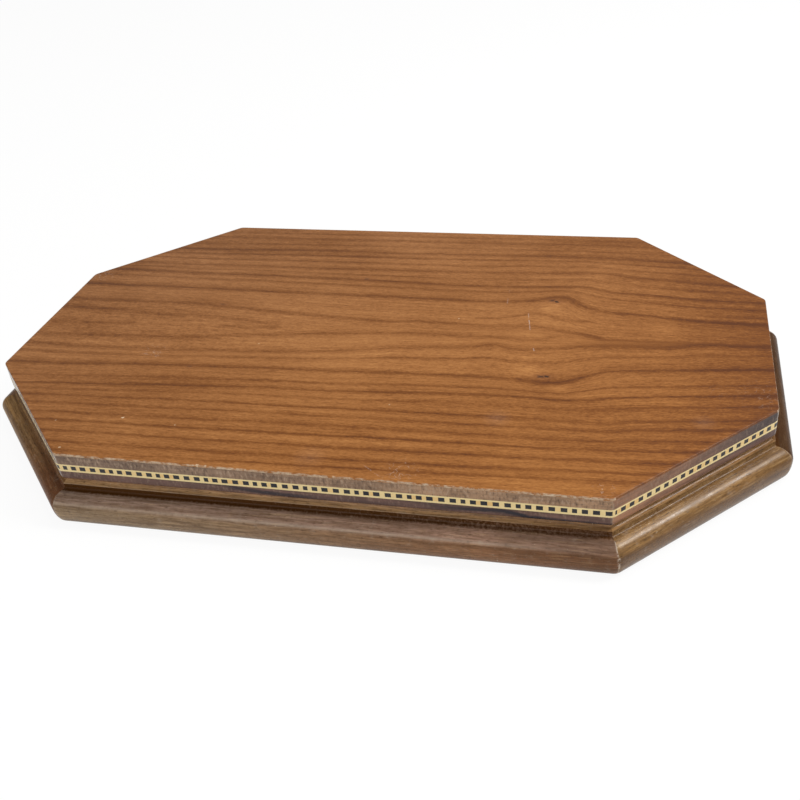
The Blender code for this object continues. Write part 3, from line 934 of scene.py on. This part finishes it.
def octagon_grid(facets, inset, cell):
    """A flat octagon `inset` inside its outline, divided into cells."""
    bm = bmesh.new()
    columns = int(2 * HALF_LENGTH / cell[0])
    rows = int(2 * HALF_WIDTH / cell[1])
    bmesh.ops.create_grid(bm, x_segments=columns, y_segments=rows, size=1.0)
    bmesh.ops.scale(bm, vec=(HALF_LENGTH, HALF_WIDTH, 1.0), verts=bm.verts[:])
    for facet in facets:
        edge = facet.normal * (facet.reach - inset)
        bmesh.ops.bisect_plane(
            bm, geom=bm.verts[:] + bm.edges[:] + bm.faces[:], dist=CUT_TOLERANCE,
            plane_co=(*edge, 0.0), plane_no=(*facet.normal, 0.0), clear_outer=True)
    return bm


def edge_slope(facets, point, inset):
    """How a point on the inset outline moves for each metre that the outline grows."""
    gaps = sorted((facet.reach - point.dot(facet.normal), index) for index, facet in enumerate(facets))
    touching = [facets[index].normal for gap, index in gaps[:2] if gap < inset + EDGE_TOLERANCE]
    if len(touching) == 1:
        return touching[0]
    return (touching[0] + touching[1]) / (1 + touching[0].dot(touching[1]))


def octagon_slab(facets, inset, thickness, easing, cell):
    """A closed octagonal sheet, its upper face divided into cells and its upper edge eased."""
    bm = octagon_grid(facets, inset + easing, cell)
    angles = [radians(90 * step / EASING_STEPS) for step in range(1, EASING_STEPS + 1)]
    rings = [(easing * sin(angle), easing * (cos(angle) - 1)) for angle in angles]
    rings.append((easing, -thickness))
    edges = [edge for edge in bm.edges if edge.is_boundary]
    rim = {vertex for edge in edges for vertex in edge.verts}
    here = {vertex: (vertex.co.copy(), edge_slope(facets, vertex.co.xy, inset + easing)) for vertex in rim}
    for grown, lifted in rings:
        made = bmesh.ops.extrude_edge_only(bm, edges=edges)["geom"]
        edges = [item for item in made if isinstance(item, bmesh.types.BMEdge)]
        fresh = [item for item in made if isinstance(item, bmesh.types.BMVert)]
        finder = point_finder([vertex.co for vertex in here])
        old = list(here.values())
        following = {}
        for vertex in fresh:
            origin, slope = old[finder.find(vertex.co)[1]]
            vertex.co = origin + Vector((*(slope * grown), lifted))
            following[vertex] = (origin, slope)
        here = following
        edges = [edge for edge in edges if all(vertex in here for vertex in edge.verts)]
    bmesh.ops.edgeloop_fill(bm, edges=edges)
    return bm


def make_veneer():
    """The veneered base, with its grain, the rub of its worn edge and a line of painted shade along one side
    of it stored on its vertices.
    """
    facets = list_facets(BASE_CORNER_RADIUS)
    bm = octagon_slab(facets, 0.0, TOP - WALL_TOP, VENEER_EASING, TOP_CELL)
    bmesh.ops.translate(bm, vec=(0.0, 0.0, TOP), verts=bm.verts[:])
    mesh = to_mesh("base_veneer_worn", bm)
    spots = growth_line_points()
    finder = point_finder([(*point, 0.0) for point, _, _ in spots])
    plan = []
    distances = []
    strengths = []
    wears = []
    for vertex in mesh.vertices:
        x, y = vertex.co.xy / MM
        y += sway(x, y)
        _, index, distance = finder.find((x, y, 0.0))
        _, darkness, width = spots[index]
        plan.append((x, y))
        distances.append(distance / width)
        strengths.append(darkness)
        wears.append(edge_wear(facets, vertex.co.xy))
    flow = flow_across(np.array(plan))
    store(mesh, flow=flow, ring_distance=distances, ring_strength=strengths, wear=wears)
    smooth(mesh)
    add_piece("base_veneer_worn", mesh, veneer_material(), "veneer", "base_veneer")


def edge_wear(facets, point):
    """How worn a point of the top is, from 0 to about 1, or below 0 where the edge is darkened with painted
    shade.
    """
    gap, index = min((facet.reach - point.dot(facet.normal), index) for index, facet in enumerate(facets))
    side, corner = divmod(index, CORNER_STEPS)
    amount = CORNER_WEAR if corner else EDGE_WEAR_AND_SHADE.get(SIDES[side].name, EDGE_WEAR_ELSEWHERE)
    return amount * max(0.0, 1 - max(gap, 0.0) / EDGE_WEAR_AND_SHADE_REACH)


def side_mesh(name, profile, index, sanded_radius, spacing):
    """A moulding along one side, mitred at both ends and rounded in plan where its corners are sanded.

    Returns the mesh, with its grain stored, and each vertex's place along the side.
    """
    side = SIDES[index]
    reach = max(out for out, _ in profile)
    turns = [MITRE * step / CORNER_STEPS for step in range(CORNER_STEPS + 1)]
    straight = max(2, int(2 * side.half_length / spacing))
    stations = [(-1, turn) for turn in reversed(turns)]
    stations += [(2 * step / straight - 1, 0.0) for step in range(1, straight)]
    stations += [(1, turn) for turn in turns]
    world = side_place(side)
    points = []
    alongs = []
    for share, turn in stations:
        for out, up in profile:
            radius = max(0.0, sanded_radius - (reach - out))
            end = side.half_length + (out - radius) * tan(MITRE)
            along = share * end if abs(share) < 1 else share * (end + radius * sin(turn))
            points.append(world @ Vector((along, radius * (1 - cos(turn)) - out, up)))
            alongs.append(along)
    mesh = solid_mesh(name, points, prism_faces(len(stations), len(profile)))
    alongs = np.array(alongs)
    rounds = np.tile(profile_lengths(profile), len(stations))
    boards = np.full(len(alongs), BOARD_STEP_ASIDE * index)
    store(mesh, grain=np.stack([alongs / MM + BOARD_STEP_ALONG * index, rounds / MM, boards], axis=1))
    return mesh, alongs


def profile_lengths(profile):
    """The distance along a profile from its first point to each of its points."""
    lengths = [0.0]
    for (out, up), (next_out, next_up) in zip(profile, profile[1:]):
        lengths.append(lengths[-1] + hypot(next_out - out, next_up - up))
    return np.array(lengths)


def shares_along(side, alongs):
    """The share of the way from a side's left end to its right one, for each place along it."""
    return fade(alongs, -side.half_length, side.half_length)


def blend_stains(shares, left, right):
    """A colour for each share of the way from a left stain to a right one."""
    eased = (shares ** 2 * (3 - 2 * shares))[:, None]
    return np.array(left) * (1 - eased) + np.array(right) * eased


def wall_profile():
    """The wall's section, with a groove for the inlay and a rounded foot."""
    floor = -BAND_DEPTH
    foot = RIM_TOP + WALL_FOOT_RADIUS
    section = [(-WALL_THICKNESS, WALL_TOP), (0.0, WALL_TOP), (0.0, BAND_HIGH.z)]
    section += [(floor, BAND_HIGH.z), (floor, BAND_LOW.z), (0.0, BAND_LOW.z)]
    section += arc(-WALL_FOOT_RADIUS, foot, WALL_FOOT_RADIUS, WALL_FOOT_RADIUS, 0, -90, 6)
    section += [(-WALL_THICKNESS, RIM_TOP)]
    return section


def make_walls():
    """The eight wall rails, stained and hatched, with heartwood in the front one and worn ends."""
    profile = wall_profile()
    satin = wall_material("walnut_wall", WALL_SHINE)
    glossy = wall_material("walnut_wall_glossy", LEFT_SHINE)
    heart_along, heart_drop, heart_dark = np.array(HEARTWOOD).T
    for index, side in enumerate(SIDES):
        name = f"wall_{side.name}"
        mesh, alongs = side_mesh(name, profile, index, BASE_CORNER_RADIUS, WALL_SPACING)
        look = WALL_LOOKS.get(side.name, WALL_ELSEWHERE)
        shares = shares_along(side, alongs)
        above = blend_stains(shares, look.above_left, look.above_right)
        below = blend_stains(shares, look.below_left, look.below_right)
        heights = np.tile([up for _, up in profile], len(alongs) // len(profile))
        is_above = heights > BAND_LOW.z + SAME_PLACE
        heart_drops = np.interp(alongs / MM, heart_along, heart_drop)
        hearts = np.interp(alongs / MM, heart_along, heart_dark) * (side.name == "front")
        from_end = side.half_length - np.abs(alongs)
        store(
            mesh,
            stain=np.where(is_above[:, None], above, below),
            figure=np.where(is_above, FIGURE_ABOVE, look.figure),
            hatch=np.where(is_above, look.hatch, look.hatch * HATCH_BELOW),
            off_heartwood=(BAND_LOW.z - heights) / MM - heart_drops,
            heartwood=np.where(is_above, 0.0, hearts),
            wear=fade(from_end, END_WEAR_REACH, 0.0) * END_WEAR)
        smooth(mesh)
        material = glossy if "left" in side.name else satin
        add_piece(name, mesh, material, "wall", f"wall_rail_{side.name}")


def rim_profile():
    """The rim's section: cove, arris, quirk, ovolo, nose and rounded inner edge."""
    quirk_out = ARRIS_REACH + QUIRK_RADIUS
    quirk_up = NOSE_HEIGHT + OVOLO_HEIGHT + QUIRK_RADIUS
    foot_out = RIM_REACH - NOSE_DRAW_IN
    inner_out = -WALL_THICKNESS + INNER_EDGE_RADIUS
    section = [(-WALL_THICKNESS, RIM_TOP)]
    section += arc(ARRIS_REACH, RIM_TOP, COVE_RADIUS, COVE_RADIUS, 180, 270, 10)
    section += [(ARRIS_REACH, ARRIS_UP - ARRIS_WEAR_AND_HIGHLIGHT_REACH)]
    section += arc(quirk_out, quirk_up, QUIRK_RADIUS, QUIRK_RADIUS, 180, 270, 6)
    section += arc(quirk_out, NOSE_HEIGHT, OVOLO_REACH, OVOLO_HEIGHT, 90, 0, 20)[1:]
    section += arc(foot_out, NOSE_HEIGHT, NOSE_DRAW_IN, NOSE_HEIGHT, 0, -90, 16)[1:]
    section += arc(inner_out, INNER_EDGE_RADIUS, INNER_EDGE_RADIUS, INNER_EDGE_RADIUS, 270, 180, 8)
    return section


def make_rims():
    """The eight rim mouldings: bare in the cove and lit there with painted light, darkened in the quirk with
    painted shade, rubbed and given painted highlights along the arris and the shoulder, and chipped at the
    mitres.
    """
    profile = rim_profile()
    finishes = {name: rim_material(name, *finish) for name, finish in RIM_FINISHES.items()}
    outs, ups = np.array(profile).T
    # Painted shade in the quirk, full near its foot and fading out round it
    from_quirk = np.hypot(outs - ARRIS_REACH - QUIRK_SHADE_OUT, ups - ARRIS_UP + FILLET_HEIGHT - QUIRK_SHADE_UP)
    quirk_shade = fade(from_quirk, QUIRK_SHADE_REACH, QUIRK_SHADE_CORE) * (ups < ARRIS_UP - SAME_PLACE)
    # The rubbed arris, which also serves as its painted highlight, and a painted highlight along the shoulder
    # of the ovolo
    arris = fade(np.hypot(outs - ARRIS_REACH, ups - ARRIS_UP), ARRIS_WEAR_AND_HIGHLIGHT_REACH, 0.0)
    shoulder = fade(np.abs(ups - SHOULDER_UP), SHOULDER_HIGHLIGHT_REACH, 0.0) * (outs > 0)
    # How bare the cove is, highest at the arris, where the front board also gets painted light
    cove = (1 - (1 - COVE_TOP_BARE) * fade(ups, ARRIS_UP, RIM_TOP)) * (ups > ARRIS_UP - SAME_PLACE)
    upper = fade(ups, BLEND_BOTTOM, BLEND_TOP)
    for index, side in enumerate(SIDES):
        name = f"rim_{side.name}"
        mesh, alongs = side_mesh(name, profile, index, RIM_CORNER_RADIUS, RIM_SPACING)
        rows = len(alongs) // len(profile)
        look = RIM_LOOKS.get(side.name, RIM_ELSEWHERE)
        shares = shares_along(side, alongs)
        browned = look.browned * fade(shares, BROWNED_FROM, BROWNED_TO)
        high = blend_stains(shares, look.upper_left, look.upper_right)
        low = blend_stains(shares, look.lower_left, look.lower_right)
        stain = low + (high - low) * np.tile(upper, rows)[:, None]
        rubbed_and_highlit = np.maximum(arris * look.arris, shoulder * look.shoulder)
        chips = np.zeros((rows, len(profile)))
        chips[0] = look.left_chips
        chips[1] = look.left_chips * CHIPS_INSIDE
        chips[-1] = look.right_chips
        chips[-2] = look.right_chips * CHIPS_INSIDE
        store(
            mesh,
            stain=stain * (1 - BROWNING * browned)[:, None],
            hollow=np.tile(quirk_shade, rows) * look.quirk * (1 - QUIRK_SHADE_FADE * shares),
            wear=np.tile(rubbed_and_highlit, rows) * (1 - browned),
            cove=np.tile(np.minimum(cove, look.cove), rows) * (1 - BROWNING * browned),
            joint=chips.ravel())
        smooth(mesh)
        add_piece(name, mesh, finishes[look.finish], "rim", f"rim_moulding_{side.name}")


def inlay_bar(first, last, bottom, top, side):
    """Rings of corners of a bar in the inlay groove, flush with the wall, between two places along a side."""
    straight = side.half_length - BASE_CORNER_RADIUS * tan(MITRE)
    limit = straight + BASE_CORNER_RADIUS * sin(MITRE)
    back_limit = side.half_length - BAND_DEPTH * tan(MITRE)
    first = max(first, -limit)
    last = min(last, limit)
    bends = [straight + BASE_CORNER_RADIUS * sin(MITRE * step / CORNER_STEPS) for step in range(CORNER_STEPS)]
    inner = [place for bend in bends for place in (-bend, bend) if first < place < last]
    rings = []
    for along in sorted([first, last, *inner]):
        over = max(0.0, abs(along) - straight)
        depth = BASE_CORNER_RADIUS - sqrt(BASE_CORNER_RADIUS ** 2 - over ** 2)
        back = along * back_limit / limit
        face = [(along, depth, bottom), (along, depth, top)]
        rings.append([*face, (back, BAND_DEPTH, top), (back, BAND_DEPTH, bottom)])
    return rings


def bars_mesh(name, bars, tints, side, index):
    """One mesh of many bars, each with a tint of its own."""
    world = side_place(side)
    corners = []
    blocks = []
    faces = []
    for rings, tint in zip(bars, tints):
        faces += prism_faces(len(rings), 4, len(corners))
        corners += [corner for ring in rings for corner in ring]
        blocks += [tint] * 4 * len(rings)
    mesh = solid_mesh(name, [world @ Vector(corner) for corner in corners], faces)
    grain = [(x / MM + BOARD_STEP_ALONG * index, z / MM, y / MM) for x, y, z in corners]
    store(mesh, grain=grain, block=blocks)
    return mesh


def block_places(side):
    """Where the dark blocks of a side begin and end, from its left mitre to its right one."""
    places = []
    if side.name == "front":
        along = FRONT_FIRST_BLOCK
        for width, pitch in cycle(FRONT_BLOCKS):
            places.append((along, along + width * MM))
            along += pitch * MM
            if along >= side.half_length:
                return places
    count = int(side.half_length / BLOCK_PITCH)
    for step in range(-count, count + 1):
        along = step * BLOCK_PITCH - BLOCK_WIDTH / 2
        places.append((along, along + BLOCK_WIDTH))
    if side.name == "front_right":
        places[0] = (SLIVER_START - side.half_length, SLIVER_END - side.half_length)
    return places


def make_inlay():
    """The chequered inlay of each side: two pale lines, pale squares and dark blocks."""
    pale = inlay_material("boxwood", (0.70, 0.57, 0.29), (0.64, 0.41, 0.15), 0.42)
    dark = inlay_material("ebony", (0.006, 0.006, 0.010), (0.030, 0.024, 0.024), 0.38)
    chance = random.Random(7)
    low = BAND_LOW.z + LOWER_LINE_HEIGHT
    high = BAND_HIGH.z - UPPER_LINE_HEIGHT
    for index, side in enumerate(SIDES):
        end = side.half_length
        places = []
        for first, last in block_places(side):
            shift = chance.uniform(-BLOCK_JITTER, BLOCK_JITTER)
            places.append((max(first + shift, -end), min(last + shift, end)))
        pale_bars = [
            inlay_bar(-end, end, BAND_LOW.z, low, side),
            inlay_bar(-end, end, high, BAND_HIGH.z, side)]
        tints = [LINE_TINT, LINE_TINT]
        for (_, first), (last, _) in zip([(-end, -end), *places], [*places, (end, end)]):
            if last - first > THINNEST_SQUARE:
                pale_bars.append(inlay_bar(first, last, low, high, side))
                tints.append(LEAST_PALE_TINT + chance.random() ** 2 * (1 - LEAST_PALE_TINT))
        dark_bars = [inlay_bar(first, last, low, high, side) for first, last in places]
        dark_tints = [chance.random() * MOST_DARK_TINT for _ in places]
        lines = bars_mesh(f"inlay_pale_{side.name}", pale_bars, tints, side, index)
        add_piece(lines.name, lines, pale, "inlay", f"inlay_band_{side.name}")
        blocks = bars_mesh(f"inlay_dark_{side.name}", dark_bars, dark_tints, side, index)
        add_piece(blocks.name, blocks, dark, "wall")


def make_felt():
    """The felt on the floor of the dish, glued to the panel and facing the table."""
    inset = HALF_LENGTH - FELT_HIGH.x
    thickness = PANEL_LOW.z - FELT_LOW.z
    bm = octagon_slab(list_facets(0.0), inset, thickness, FELT_EASING, FELT_CELL)
    for vertex in bm.verts:
        x, y, depth = vertex.co
        if depth > -FACE_DEPTH:
            tuft = noise.noise((x / MM * MATTING_SCALE, y / MM * MATTING_SCALE, MATTING_PLANE))
            depth += tuft * MATTING_DEPTH - MATTING_DEPTH
        vertex.co.z = PANEL_LOW.z - thickness - depth
    mesh = to_mesh("felt_lining_laid", bm)
    smooth(mesh)
    felt = add_piece("felt_lining_laid", mesh, felt_material(), "felt", "felt_lining")


def dress_hidden_parts():
    """Materials of the panel and the splines, which stay as the solids make them."""
    ply = plain_wood_material("birch_ply", (0.62, 0.46, 0.28), (0.50, 0.34, 0.19))
    beech = plain_wood_material("beech_spline", (0.55, 0.36, 0.20), (0.43, 0.26, 0.14))
    for name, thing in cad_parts.items():
        if name == "base_panel" or name.startswith("rim_spline"):
            thing.data.materials.clear()
            thing.data.materials.append(ply if name == "base_panel" else beech)


def table_material():
    """A plain table top that shows as white to the camera and keeps a soft shadow."""
    paint = Paint("white_table")
    path = paint.node("LightPath", {}).outputs
    seen = paint.math("MAXIMUM", path["Is Camera Ray"], path["Is Transmission Ray"])
    seen = paint.math("MAXIMUM", seen, path["Is Glossy Ray"])
    paper = paint.noise(paint.place(), (0.003, 0.003, 0.003))
    paint.finish(paint.mix(paper, (0.90, 0.90, 0.90), (0.93, 0.93, 0.93)), 0.9)
    white = paint.node("Emission", {"Color": (1.0, 1.0, 1.0, 1.0), "Strength": 1.0}).outputs[0]
    whiteness = paint.times(seen, TABLE_WHITENESS)
    shown = paint.node("MixShader", {0: whiteness, 1: paint.shader.outputs[0], 2: white}).outputs[0]
    paint.feed(paint.tree.nodes["Material Output"].inputs["Surface"], shown)
    return paint.material


def make_floor():
    """The table that the plate lies on."""
    bm = bmesh.new()
    bmesh.ops.create_grid(bm, x_segments=2, y_segments=2, size=TABLE_HALF_SIZE)
    mesh = bpy.data.meshes.new("floor")
    bm.to_mesh(mesh)
    bm.free()
    mesh.materials.append(table_material())
    floor = add_object("floor", mesh)
    floor.location.z = -TABLE_DROP


def make_camera():
    """The camera where the photograph was taken from."""
    lens = bpy.data.cameras.new("camera")
    lens.sensor_width = SENSOR_WIDTH
    lens.lens = FOCAL_LENGTH
    lens.shift_x, lens.shift_y = LENS_SHIFT
    lens.clip_start = NEAREST_SEEN
    camera = add_object("camera", lens)
    east, north, up = CAMERA_PLACE
    swing = Matrix.Rotation(radians(CAMERA_SWING), 4, "Z")
    tilt = Matrix.Rotation(radians(90 - CAMERA_TILT), 4, "X")
    roll = Matrix.Rotation(radians(CAMERA_ROLL), 4, "Z")
    camera.matrix_world = Matrix.Translation((east, north, up + TOP)) @ swing @ tilt @ roll
    bpy.context.scene.camera = camera


def add_softbox(name, direction, distance, size, power, colour):
    """A square area light that looks at the plate from a direction."""
    light = bpy.data.lights.new(name, "AREA")
    light.shape = "SQUARE"
    light.size = size
    light.energy = power
    light.color = colour
    lamp = add_object(name, light)
    toward = Vector(direction).normalized()
    lamp.location = toward * distance
    lamp.rotation_mode = "QUATERNION"
    lamp.rotation_quaternion = toward.to_track_quat("Z", "Y")


def make_light():
    """A bright white studio: an even world, one box overhead, one to the right and one in front."""
    scene = bpy.context.scene
    world = bpy.data.worlds.new("studio")
    scene.world = world
    world.use_nodes = True
    background = world.node_tree.nodes["Background"]
    background.inputs["Color"].default_value = (1.0, 1.0, 1.0, 1.0)
    background.inputs["Strength"].default_value = WORLD_STRENGTH
    for name, box in SOFTBOXES.items():
        add_softbox(name, *box)
    scene.view_settings.view_transform = "Standard"


make_camera()
make_light()
make_floor()
make_veneer()
make_walls()
make_inlay()
make_rims()
make_felt()
dress_hidden_parts()
